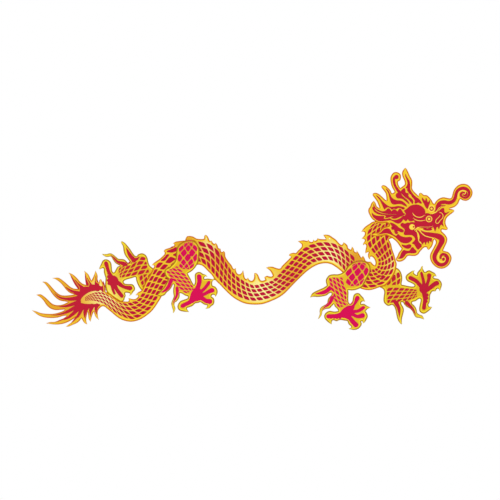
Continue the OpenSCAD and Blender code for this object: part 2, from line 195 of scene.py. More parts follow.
# %% Pads collected in a relief
SUNK = 0.04  # millimetres that every pad reaches into its card
INK = 0.13  # millimetres that ordinary ink stands above its card


def ring_faces(count, levels, first, wrap=False):
    """Four-sided faces between neighbouring rings of count points each."""
    i = np.arange(count)
    j = (i + 1) % count
    faces = []
    for k in range(levels if wrap else levels - 1):
        a, b = first + k * count, first + ((k + 1) % levels) * count
        faces.append(np.stack([a + i, a + j, b + j, b + i], 1))
    return np.vstack(faces)


class Relief:
    """Collects pads for one card: points across the card, a height above its face, and a shade value."""

    def __init__(self):
        self.flat, self.height, self.shade, self.faces, self.total = [], [], [], [], 0

    def add(self, flat, height, shade, faces):
        self.flat.append(flat)
        self.height.append(np.broadcast_to(height, len(flat)))
        self.shade.append(np.broadcast_to(shade, len(flat)))
        self.faces.extend(f if isinstance(f, list) else f.tolist() for f in faces)
        self.total += len(flat)

    def pad(self, loop, top, slope=1.0, bleed=0.5):
        """A closed pad: a floor just under the face, a side that rises over the slope, and a flat top."""
        loop = tidy_loop(np.asarray(loop, float))
        loop = tidy_loop(loop - inward(loop) * bleed)
        n, first = len(loop), self.total
        levels = rings(loop, [0, 0.35 * slope, slope])
        i = np.arange(n)
        caps = [(first + i)[::-1].tolist(), (first + 2 * n + i).tolist()]
        faces = ring_faces(n, 3, first).tolist() + caps
        self.add(
            np.vstack(levels),
            np.repeat([-SUNK, 0.7 * top, top], n),
            np.repeat([0.0, 0.5, 1.0], n),
            faces,
        )


relief = Relief()
relief.pad(disc(0, 0, 5), INK)
print("a round pad has", len(relief.faces), "faces")


# %% A relief on both faces of a card
def raise_on(name, card, relief, material):
    """Turns a relief into one mesh that stands on the front and, mirrored, on the back of the card."""
    low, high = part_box(card)
    flat = np.vstack(relief.flat) * unit + PIVOT[card]
    height = np.concatenate(relief.height) / 1000
    shade = np.concatenate(relief.shade)
    front = np.stack([flat[:, 0], low.y - height, flat[:, 1]], 1)
    back = np.stack([flat[:, 0], high.y + height, flat[:, 1]], 1)
    count = len(flat)
    faces = relief.faces + [[count + v for v in reversed(f)] for f in relief.faces]
    mesh = bpy.data.meshes.new(name)
    mesh.from_pydata(np.vstack([front, back]).tolist(), [], faces)
    mesh.attributes.new("shade", "FLOAT", "POINT").data.foreach_set(
        "value", np.concatenate([shade, shade]).astype(np.float32)
    )
    mesh.materials.append(material)
    piece = bpy.data.objects.new(name, mesh)
    bpy.context.scene.collection.objects.link(piece)
    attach(piece, BODY[card])
    print(name, "has", len(faces), "faces")
    return piece

# %% [markdown]
# The colours below are sums and products of a few shader sockets. Each maths node could be made and linked by
# hand, in four lines every time. A small class that wraps a socket and knows +, -, * and the like keeps those
# formulas readable instead, and a second one makes and links all other nodes.

# %% Shader arithmetic
class Value:
    """A socket, or the graph behind it, that can be used in a formula."""

    def __init__(self, graph, socket):
        self.graph, self.socket = graph, socket

    def _maths(self, operation, *inputs):
        return self.graph.node("ShaderNodeMath", {"operation": operation}, dict(enumerate(inputs)))

    def __add__(self, other):
        return self._maths("ADD", self, other)

    def __radd__(self, other):
        return self._maths("ADD", other, self)

    def __sub__(self, other):
        return self._maths("SUBTRACT", self, other)

    def __rsub__(self, other):
        return self._maths("SUBTRACT", other, self)

    def __mul__(self, other):
        return self._maths("MULTIPLY", self, other)

    def __rmul__(self, other):
        return self._maths("MULTIPLY", other, self)

    def __truediv__(self, other):
        return self._maths("DIVIDE", self, other)

    def __rtruediv__(self, other):
        return self._maths("DIVIDE", other, self)

    def __pow__(self, other):
        return self._maths("POWER", self, other)

    def bell(self):
        """exp(-v), which is 1 at 0 and fades away."""
        return self._maths("POWER", 2.71828, 0 - self)


class Graph:
    """The nodes of one material."""

    def __init__(self, name):
        self.material = bpy.data.materials.new(name)
        self.material.use_nodes = True
        self.tree = self.material.node_tree
        self.shader = self.tree.nodes["Principled BSDF"]

    def _connect(self, socket, value):
        """Links the socket to a Value, or sets it to a constant."""
        if isinstance(value, Value):
            self.tree.links.new(value.socket, socket)
        else:
            socket.default_value = value

    def node(self, kind, settings=None, inputs=None, output=0):
        """A new node: its settings first, then what goes into each of its sockets."""
        made = self.tree.nodes.new(kind)
        for key, value in (settings or {}).items():
            setattr(made, key, value)
        for key, value in (inputs or {}).items():
            self._connect(made.inputs[key], value)
        return Value(self, made.outputs[output])

    def place(self):
        """The x and z of the point on the card, in metres."""
        point = self.node("ShaderNodeTexCoord", output="Object")
        parts = self.node("ShaderNodeSeparateXYZ", inputs={0: point})
        return parts, Value(self, parts.socket.node.outputs["Z"])

    def mix(self, share, first, second):
        """first + share (second - first), for two colours. The node's colour sockets are 6, 7 and out 2."""
        return self.node("ShaderNodeMix", {"data_type": "RGBA"}, {0: share, 6: first, 7: second}, output=2)

    def feed(self, name, value):
        self._connect(self.shader.inputs[name], value)


def colour(red, green, blue):
    """A screen colour, 0 to 255 each, as the linear light values that a shader takes."""
    c = np.array([red, green, blue], float) / 255
    linear = np.where(c <= 0.04045, c / 12.92, ((c + 0.055) / 1.055) ** 2.4)
    return (*linear.tolist(), 1.0)


print("the print's crimson in linear light:", colour(185, 20, 50))

# %% [markdown]
# The card is laminated with gold foil, so one sheet runs from pale lemon where it catches the light to a
# warm dark orange where it looks away. On real foil that comes from slight curls of the card. Curling the
# thin cards would make them touch, so they stay flat, and soft spots of colour painted on the card stand in
# for that light and shade: painted highlights and painted shade.

# %% Gold foil
# The first list places painted highlights on the foil, the second painted shade; each spot is x, z and radius in
# drawing units.
GLINTS = [(-12, -104, 36), (125, -36, 30), (262, -52, 18), (-326, -112, 34), (-110, -12, 20)]
PAINTED_SHADE_SPOTS = [(-86, -34, 34), (60, -90, 34), (180, -38, 24), (-166, -10, 24), (-420, -120, 60), (230, -20, 14)]


def spots(graph, places):
    """The sum of exp(-d^2 / r^2) over the places, each x, z, r in drawing units from the middle."""
    x, z = graph.place()
    total = 0
    for px, pz, r in places:
        dx, dz = (x - px * unit) / (r * unit), (z - pz * unit) / (r * unit)
        total = total + (dx * dx + dz * dz).bell()
    return total


def foil_colour(graph, middle, glint, painted_shade):
    """The middle gold, mixed with the painted highlight (glint) colour and then with the painted shade colour by
    the two sums of spots.
    """
    base = graph.mix(spots(graph, GLINTS), middle, glint)
    return graph.mix(spots(graph, PAINTED_SHADE_SPOTS) * 0.8, base, painted_shade)


def gold(name, middle, glint, painted_shade):
    """Half metal, because a fully metallic flat card would show nothing but its white surroundings."""
    graph = Graph(name)
    graph.feed("Base Color", foil_colour(graph, middle, glint, painted_shade))
    graph.feed("Metallic", 0.5)
    graph.feed("Roughness", 0.36)
    graph.feed("Specular IOR Level", 0.15)
    return graph


# The second colour of each foil below is a painted highlight and the last one is painted shade.
MIDDLE = (colour(240, 196, 42), colour(255, 246, 160))
PAINTED_SHADE_GOLD = colour(220, 145, 35)
foil = gold("gold_foil", *MIDDLE, PAINTED_SHADE_GOLD)
leg_foil = gold("leg_foil", colour(228, 186, 34), colour(250, 235, 110), colour(208, 150, 30))
line_gold = gold("line_gold", colour(255, 222, 80), colour(255, 246, 160), PAINTED_SHADE_GOLD)
print("foil materials made")

# %% [markdown]
# The border is a low round bead along the die-cut edge. Its colour is painted shade, darkest at the very
# edge where the foil turns over the cut, and a painted highlight on its inner side. A round wire could be
# laid along the edge, but it would stand out past the card and knot in the narrow tips. A bead that grows
# inwards from the card's own edge keeps the outline and grows thin where there is little room.

# %% Border colours
def border_gold(name, edge, bright, painted_shade):
    """Painted shade at the edge, then a painted highlight, then plain foil, by the share of the bead's width."""
    graph = Graph(name)
    across = graph.node("ShaderNodeAttribute", {"attribute_name": "shade"}, output="Fac")
    rise, fall = [
        graph.node(
            "ShaderNodeMapRange",
            {"interpolation_type": "SMOOTHSTEP"},
            {"Value": across, "From Min": low, "From Max": high},
        )
        for low, high in ((0.3, 0.7), (0.75, 1.0))
    ]
    inside = foil_colour(graph, *MIDDLE, painted_shade)
    # Under the spots of painted shade, the highlight band turns to painted shade too.
    bright = graph.mix(spots(graph, PAINTED_SHADE_SPOTS) * 0.7, bright, painted_shade)
    graph.feed("Base Color", graph.mix(fall, graph.mix(rise, edge, bright), inside))
    graph.feed("Metallic", 0.5)
    graph.feed("Roughness", 0.34)
    graph.feed("Specular IOR Level", 0.15)
    return graph.material


# Each border: painted shade at the edge, a painted highlight inside it, and the painted shade colour under the
# spots.
rim_gold = border_gold("border_gold", colour(205, 112, 8), colour(252, 216, 50), PAINTED_SHADE_GOLD)
leg_rim_gold = border_gold("leg_border", colour(172, 120, 12), colour(246, 226, 50), PAINTED_SHADE_GOLD)
print("border materials made")


# %% Outer edge of a card
def card_outline(card):
    """The card's outer edge in metres. An edge of the front face that only one triangle has is an outer
    edge. Jumps of 1, 2, 4, 8 and more edges along it put all of its points in order."""
    mesh = frame["nodes"][card].data
    mesh.calc_loop_triangles()
    corners = np.zeros(len(mesh.vertices) * 3)
    mesh.vertices.foreach_get("co", corners)
    corners = corners.reshape(-1, 3)
    triangles = np.zeros(len(mesh.loop_triangles) * 3, int)
    mesh.loop_triangles.foreach_get("vertices", triangles)
    points, same = np.unique(np.round(corners * 1e6).astype(int), axis=0, return_inverse=True)
    triangles = same.reshape(-1)[triangles].reshape(-1, 3)
    front = np.all(points[triangles][:, :, 1] == points[:, 1].min(), axis=1)
    edges = triangles[front][:, [0, 1, 1, 2, 2, 0]].reshape(-1, 2)
    code = edges[:, 0] * len(points) + edges[:, 1]
    open_edge = ~np.isin(code, edges[:, 1] * len(points) + edges[:, 0])
    after = np.arange(len(points))
    after[edges[open_edge, 0]] = edges[open_edge, 1]
    start = edges[open_edge, 0][np.argmax(points[edges[open_edge, 0], 0])]
    order, jump = np.array([start]), after
    while np.count_nonzero(order == start) < 2:
        order = np.concatenate([order, jump[order]])
        jump = jump[jump]
    order = order[: np.flatnonzero(order == start)[1]]
    return points[order][:, [0, 2]] / 1e6


print("the head card has", len(card_outline("head_card")), "points round it")


# %% The bead along the edge
def border(card, width=5.0, top=0.16):
    """A bead whose height is top * sin(pi s)^0.7 at the share s of its width."""
    loop = (card_outline(card) - PIVOT[card]) / unit
    loop = tidy_loop(loop)
    shares = np.array([0, 0.0, 0.15, 0.4, 0.7, 1.0, 1.0])
    n, reach = inward(loop), np.minimum(room(loop) * 0.96, width)[:, None]
    height = top * np.sin(np.pi * shares) ** 0.7
    height[[0, -1]] = -SUNK
    relief = Relief()
    flat = np.vstack([loop + n * reach * s for s in shares])
    levels = len(shares)
    relief.add(flat, np.repeat(height, len(loop)), np.repeat(shares, len(loop)),
               ring_faces(len(loop), levels, 0, wrap=True))
    material = leg_rim_gold if "leg" in card else rim_gold
    return raise_on(card.replace("_card", "") + "_border", card, relief, material)


for card in PIVOT:
    border(card)

# %% [markdown]
# The print is a thick lacquer-like ink. It is deep crimson on the body, the head and the far legs and a
# little more magenta on the two near legs. A strong gloss would wash it out in white surroundings, so the
# gloss is weak. The sloping side of each pad is darker.

# %% Crimson print
def ink(name, face, side):
    """The side colour at shade 0, the face colour at shade 1."""
    graph = Graph(name)
    shade = graph.node("ShaderNodeAttribute", {"attribute_name": "shade"}, output="Fac")
    graph.feed("Base Color", graph.mix(shade, side, face))
    graph.feed("Roughness", 0.5)
    graph.feed("Specular IOR Level", 0.1)
    return graph.material


crimson = ink("crimson_print", colour(190, 22, 50), colour(150, 8, 35))
scale_red = ink("scale_print", colour(186, 4, 52), colour(140, 0, 30))
magenta = ink("magenta_print", colour(214, 0, 82), colour(180, 0, 60))
lacquer = ink("rivet_lacquer", colour(186, 4, 52), colour(186, 4, 52))
near_lacquer = ink("near_rivet_lacquer", colour(214, 0, 82), colour(214, 0, 82))
print("inks made")

# %% [markdown]
# A scale is a small slanting lozenge with rounded corners. The scales lie in rows along the body, each row
# half a scale behind the last, and only thin gold lines stay between them. Copies of one scale could be
# set along a curve, but they would not bend and narrow with the body. So the body is described by rungs,
# like a bent ladder, with one point on each side, and the lozenges are drawn in the ladder's own
# coordinates, u along and v across.

# %% Scales on a bent ladder
TURN = np.arange(16) / 16 * 2 * np.pi
BORE = 2.5  # drawing units kept free of print round the rivet that a card turns on


def rounded(power):
    """(cos a, sin a) with each part raised to a power: below 1 a rounded square, above 1 a lozenge."""
    around = np.stack([np.cos(TURN), np.sin(TURN)], 1)
    return np.sign(around) * np.abs(around) ** power


def scales(name, card, rungs, material, rows=4, aspect=1.4, fill=0.84, slant=0.5, widen=0.11):
    """Place a scale at u = i + row/2, v = (row + 1/2) / rows; its points are A(u) + v (B(u) - A(u)).
    u counts scales: it grows by rows / aspect for each ladder width travelled, so that scales keep
    their shape where the ladder narrows. A scale over the rivet gets a round hole for the shank, and
    one beside it has its points moved out to the hole's radius."""
    relief = Relief()
    sides = np.array(rungs, float)
    left = smooth(sides[:, :2].tolist(), closed=False, steps=8)
    right = smooth(sides[:, 2:].tolist(), closed=False, steps=8)
    left, right = left - widen * (right - left), right + widen * (right - left)
    middle, breadth = (left + right) / 2, np.linalg.norm(right - left, axis=1)
    step = np.linalg.norm(np.diff(middle, axis=0), axis=1) / ((breadth[1:] + breadth[:-1]) / 2)
    travel = np.concatenate([[0], np.cumsum(step)]) * rows / aspect
    columns = max(2, round(travel[-1]))
    travel = travel * columns / travel[-1]
    shape = rounded(0.45) * 0.5 if slant else rounded(1.6) * [0.52, 1.0]
    shape = np.vstack([shape, shape * 0.84]) * fill
    dv = shape[:, 1]
    du = shape[:, 0] + slant * dv

    def at(u, v):
        a = np.stack([np.interp(u, travel, left[:, k]) for k in (0, 1)], -1)
        b = np.stack([np.interp(u, travel, right[:, k]) for k in (0, 1)], -1)
        return a + v[..., None] * (b - a)

    for row in range(rows):
        for column in range(columns + row % 2):
            u = column + 0.5 - 0.5 * (row % 2)
            flat = at(np.clip(u + du, 0, columns), (row + 0.5 + dv) / rows)
            first, n = relief.total, len(TURN)
            x, z = flat[:n].T
            clockwise = np.sum(x * np.roll(z, -1) - z * np.roll(x, -1)) < 0
            away = np.hypot(flat[:, 0], flat[:, 1])[:, None]
            flat = flat * np.maximum(1, BORE / away)
            angle = np.arctan2(z, x)
            turned = np.angle(np.exp(1j * (np.roll(angle, -1) - angle))).sum()
            if abs(turned) > np.pi:
                rim = flat[n:] * BORE / np.linalg.norm(flat[n:], axis=1)[:, None]
                flat = np.vstack([flat, rim, rim])
                height, shade = [-SUNK, INK, INK, -SUNK], [0.2, 1.0, 1.0, 0.2]
                faces = ring_faces(n, 4, first, wrap=True).tolist()
            else:
                i = np.arange(n)
                height, shade = [-SUNK, INK], [0.2, 1.0]
                faces = ring_faces(n, 2, first).tolist()
                faces += [(first + i)[::-1].tolist(), (first + n + i).tolist()]
            if clockwise:
                faces = [f[::-1] for f in faces]
            relief.add(flat, np.repeat(height, n), np.repeat(shade, n), faces)
    return raise_on(name, card, relief, material)


print("a scale has", len(TURN), "points round it")

# %% Rungs
BODY_RUNGS = [
    (-140, -8, -140, -42), (-116, -15, -124, -50), (-98, -30, -113, -62), (-85, -50, -101, -75),
    (-70, -71, -84, -95), (-48, -87.5, -60, -113), (-30, -95, -34, -122), (-10, -92, -8, -120),
    (10, -85, 20, -109), (27, -69, 40, -93), (42, -53, 57, -77), (58, -35, 72, -60),
    (77, -19, 88, -47), (99, -11, 104, -42), (120, -10, 121, -40.5), (141, -16, 136, -45),
    (157, -27, 147, -54), (175, -42, 158, -66),
]
NECK_RUNGS = [
    (192, -58, 172, -81), (204, -64, 192, -95), (212, -64, 212, -95), (219, -60, 232, -86),
    (223, -50, 247, -66), (222, -40, 250, -46),
    (212, -26, 246, -29), (203, -12, 242, -12), (201, 2, 238, 4), (204, 17, 238, 19), (213, 32, 238, 34),
]
REAR_RUNGS = [
    (-22, 20, -14, -30), (-38, 12, -26, -36), (-52, -6, -38, -42), (-66, -24, -49, -54),
    (-76, -44, -59, -70), (-84, -60, -66, -84), (-92, -76, -76, -100), (-104, -90, -92, -115),
    (-120, -95, -113, -124), (-137, -93, -133, -119), (-154, -81, -152, -108), (-169, -75, -169, -95),
    (-184, -73.5, -184, -89.5), (-198, -77.5, -197, -88), (-208, -83, -208, -89),
]
NEAR_FRONT_THIGH = [
    (-2, 26, 12, 27), (-16, 12, 22, 14), (-22, 2, 24, 3), (-23, -9, 20, -8), (-17, -25, 8, -23),
]
NEAR_FRONT_SHIN = [
    (-57, -7, -29, -7), (-54, -22, -25, -24), (-51, -36, -20, -38), (-46, -50, -19, -50),
    (-38, -69, -15, -60),
]
FAR_FRONT_THIGH = [(6, 12, 33, 10), (7, -3, 36, -3), (9, -17, 35, -15)]
FAR_FRONT_SHIN = [
    (7, -23, 9, -52), (22, -22, 23, -50), (40, -23, 41, -48), (56, -24, 57, -44), (68, -26, 68, -39),
]
NEAR_HIND_THIGH = [
    (-5, 31, 5, 32), (-18, 17, 15, 19), (-23, 5, 19, 6), (-23, -8, 17, -7), (-16, -26, 4, -27),
]
NEAR_HIND_SHIN = [
    (-46, -30, -24, -20), (-38, -41, -12, -32), (-28, -53, -2, -44), (-17, -66, 6, -55), (-6, -76, 10, -66),
]
FAR_HIND_THIGH = [(-42, 9, -18, 14), (-38, -5, -18, -4), (-33, -17, -22, -17)]
FAR_HIND_SHIN = [
    (-84, 21, -80, 5), (-71, 32, -69, 7), (-57, 38, -55, 9), (-45, 46, -41, 12), (-28, 44, -22, 16),
]
print("the body's ladder has", len(BODY_RUNGS), "rungs")

# %% Scales of every card
scales("body_scales", "body_card", BODY_RUNGS, scale_red)
scales("neck_scales", "body_card", NECK_RUNGS, scale_red, rows=5, aspect=1.6, widen=0.11)
scales("rear_scales", "rear_card", REAR_RUNGS, scale_red, rows=4, aspect=1.35, slant=-0.7)
scales("near_front_thigh", "near_front_leg", NEAR_FRONT_THIGH, magenta, rows=5, aspect=2.2, fill=0.8,
       slant=0, widen=0)
scales("near_front_shin", "near_front_leg", NEAR_FRONT_SHIN, magenta, widen=0.02)
scales("far_front_thigh", "far_front_leg", FAR_FRONT_THIGH, crimson, rows=3, slant=-0.5, widen=0.06)
scales("far_front_shin", "far_front_leg", FAR_FRONT_SHIN, crimson, aspect=1.5, slant=-0.5, widen=0.06)
scales("near_hind_thigh", "near_hind_leg", NEAR_HIND_THIGH, magenta, rows=5, aspect=2.2, fill=0.8,
       slant=0, widen=0)
scales("near_hind_shin", "near_hind_leg", NEAR_HIND_SHIN, magenta, widen=0.03)
scales("far_hind_thigh", "far_hind_leg", FAR_HIND_THIGH, crimson, rows=3, slant=-0.5, widen=0.06)
scales("far_hind_shin", "far_hind_leg", FAR_HIND_SHIN, crimson, aspect=1.5, slant=-0.5, widen=0.06)

# %% [markdown]
# A foot is printed as a palm with toes, a long heel toe with a scalloped underside, and two flame-shaped
# fins behind the leg. Each foot could be one long outline, but overlapping brush strokes and small discs
# are easier to shape toe by toe, and they merge by themselves, because all have the same ink.

# %% One pad for each outline
def printed(name, card, loops, material, top=INK, bleed=0.5):
    """One pad for each loop. Each stands a little higher than the last, so that no two tops coincide."""
    relief = Relief()
    for number, loop in enumerate(loops):
        relief.pad(loop, top + 0.003 * (number % 14), bleed=bleed)
    return raise_on(name, card, relief, material)


print("ordinary ink stands", INK, "mm high")

# %% Feet and fins
near_front = [
    smooth([(-42, -81), (-34, -77), (-28, -70), (-17, -63), (-8, -59), (-5, -66), (-8, -72), (-11, -78),
            (-11, -84), (-17, -89), (-24, -88), (-32, -87), (-42, -87.5)]),
    stroke((-18, -76, 9), (-12, -66, 8.6), (-6, -58, 8.6), (0.6, -48, 8.6)),
    stroke((-18, -78, 7), (-8, -75, 6), (2, -74, 6), (13, -67, 6.6)),
    stroke((-18, -80, 7), (-8, -81, 6.4), (0, -85, 6.2), (11, -83, 9)),
    stroke((-20, -84, 10), (-14, -89, 9), (-8, -96, 9), (-2, -102, 9.4)),
    stroke((-22, -80, 10), (-44, -84, 7.4), (-58, -84.6, 7.6)),
    smooth([(-55, -24), (-62, -30), (-72, -35), (-85, -39, T), (-75, -41), (-63, -40), (-54, -34),
            (-52, -28)]),
    stroke((-50, -47, 8), (-55, -58, 6.4), (-63, -65, 4.4), (-71, -72, 0)),
    disc(-52, -87, 2.6), disc(-46, -87.5, 2.6), disc(-40, -87.5, 2.6), disc(-34, -88, 2.6),
]
far_front = [
    disc(82, -24, 9), stroke((80, -24, 8), (74, -16, 7), (66, -8, 7.4), (55, -2, 7.6)),
    stroke((82, -20, 7), (81, -8, 5.4), (79, 0, 5), (77, 8, 4.6)),
    stroke((86, -20, 7), (90, -10, 5.6), (92, -3, 6), (92.4, 3, 8)),
    stroke((86, -26, 9), (95, -21, 8), (102, -15, 8), (108, -12, 8.8)),
    stroke((82, -28, 10), (84, -44, 7), (82, -62, 7)),
    stroke((26, -52, 9), (31, -62, 7.4), (33, -82, 0)),
    stroke((47, -52, 8), (56, -60, 6.4), (61, -67, 4.4), (66, -77, 0)),
    disc(89, -36, 2.8), disc(88.6, -42.5, 2.8), disc(87, -49, 2.6),
]
near_hind = [
    smooth([(0, -91), (3, -79), (8, -68), (15, -63), (22, -65), (25, -72), (26, -80), (23, -88), (14, -93),
            (6, -94)]),
    stroke((14, -72, 9), (18, -62, 8.6), (21, -50, 8.6), (20, -41, 9)),
    stroke((20, -74, 7), (30, -66, 6), (36, -59, 6), (40, -53, 6.6)),
    stroke((22, -78, 7), (31, -76, 6.2), (38, -72, 6.6), (46, -68.6, 9.4)),
    stroke((18, -80, 10), (27, -85, 9), (34, -90, 9), (42, -91, 9.6)),
    stroke((14, -80, 11), (2, -92, 8), (-13, -99.6, 7.4)),
    stroke((-36, -48, 8), (-41, -62, 9), (-48, -69, 6), (-58, -73, 0)),
    stroke((-24, -64, 6), (-23.4, -76, 6), (-28, -86, 4.6), (-33, -98, 0)),
]
far_hind = [
    disc(-94, -2, 10.6), stroke((-96, 0, 9), (-99, 10, 7), (-104, 20, 6.2), (-108, 34, 7)),
    stroke((-90, -2, 10), (-84, -6, 8), (-74, -12, 7.6), (-60, -16, 9)),
    stroke((-92, -8, 9), (-87, -18, 7), (-82, -25, 7), (-76, -32, 7)),
    stroke((-96, -10, 6), (-94, -20, 4.4), (-91, -27, 4)),
    stroke((-52, 40, 9), (-60, 50, 8), (-68, 66, 0)),
    stroke((-68, 32, 8), (-84, 36, 6), (-92, 44, 4), (-100, 51, 0)),
    disc(-102.5, 13, 2.6), disc(-104, 6.5, 2.6), disc(-104.5, -0.5, 2.6), disc(-102.5, -7, 2.6),
]
printed("near_front_foot", "near_front_leg", near_front, magenta)
printed("far_front_foot", "far_front_leg", far_front, crimson)
printed("near_hind_foot", "near_hind_leg", near_hind, magenta)
printed("far_hind_foot", "far_hind_leg", far_hind, crimson)

# %% [markdown]
# The tail ends in a fan of flames, each with a red heart inside its own gold tongue. The tongues are cut in
# the card already, so only the hearts are drawn. Each is a stroke that starts wide in a common root and runs
# out to a sharp tip. One outline round all of them would need a point pair for every notch.

# %% Tail flames
tail = [
    smooth([(-170, -65), (-184, -59), (-200, -57), (-212, -64), (-222, -78), (-225, -90), (-219, -101),
            (-206, -104), (-190, -102), (-176, -99), (-190, -96.4), (-206, -96), (-217, -94, T),
            (-216, -86), (-209, -78), (-198, -71.4), (-184, -68.6)]),
    stroke((-171, -68, 8), (-171, -59, 5), (-171.5, -50, 0)),
    stroke((-183, -65, 11), (-184.6, -54, 7.4), (-186.5, -38, 0)),
    stroke((-197, -64, 13), (-202.5, -52, 8), (-208, -36, 0)),
    stroke((-212, -68, 12), (-225, -55, 7), (-238, -37, 0)),
    stroke((-218, -76, 9), (-238, -69, 5), (-252, -58, 0)),
    stroke((-220, -84, 9), (-246, -86, 5), (-260, -82, 3.4), (-270, -73, 0)),
    stroke((-220, -92, 8), (-246, -100, 4.6), (-266, -101, 0)),
    stroke((-220, -99, 8), (-252, -115, 4.4), (-276, -119, 0)),
    stroke((-216, -100, 9), (-240, -122, 4.6), (-268, -132, 0)),
    stroke((-212, -100, 8), (-222, -120, 4.4), (-236, -134, 0)),
    stroke((-204, -101, 10), (-208, -114, 6), (-208, -126, 0)),
    stroke((-194, -100, 9), (-197, -111, 5.4), (-197, -122, 0)),
    stroke((-184, -99, 8), (-186, -108, 5), (-184, -118, 0)),
]
printed("tail_flames", "rear_card", tail, crimson)

# %% [markdown]
# The head is the busiest card: mane flames behind, horns above, a curled brow, the cheek, the jaw and two
# long whiskers that end in curls. Strokes alone would be too even for flames and jaws. So most of the head is
# smooth outlines with a few sharp tips, and only its curls are strokes.

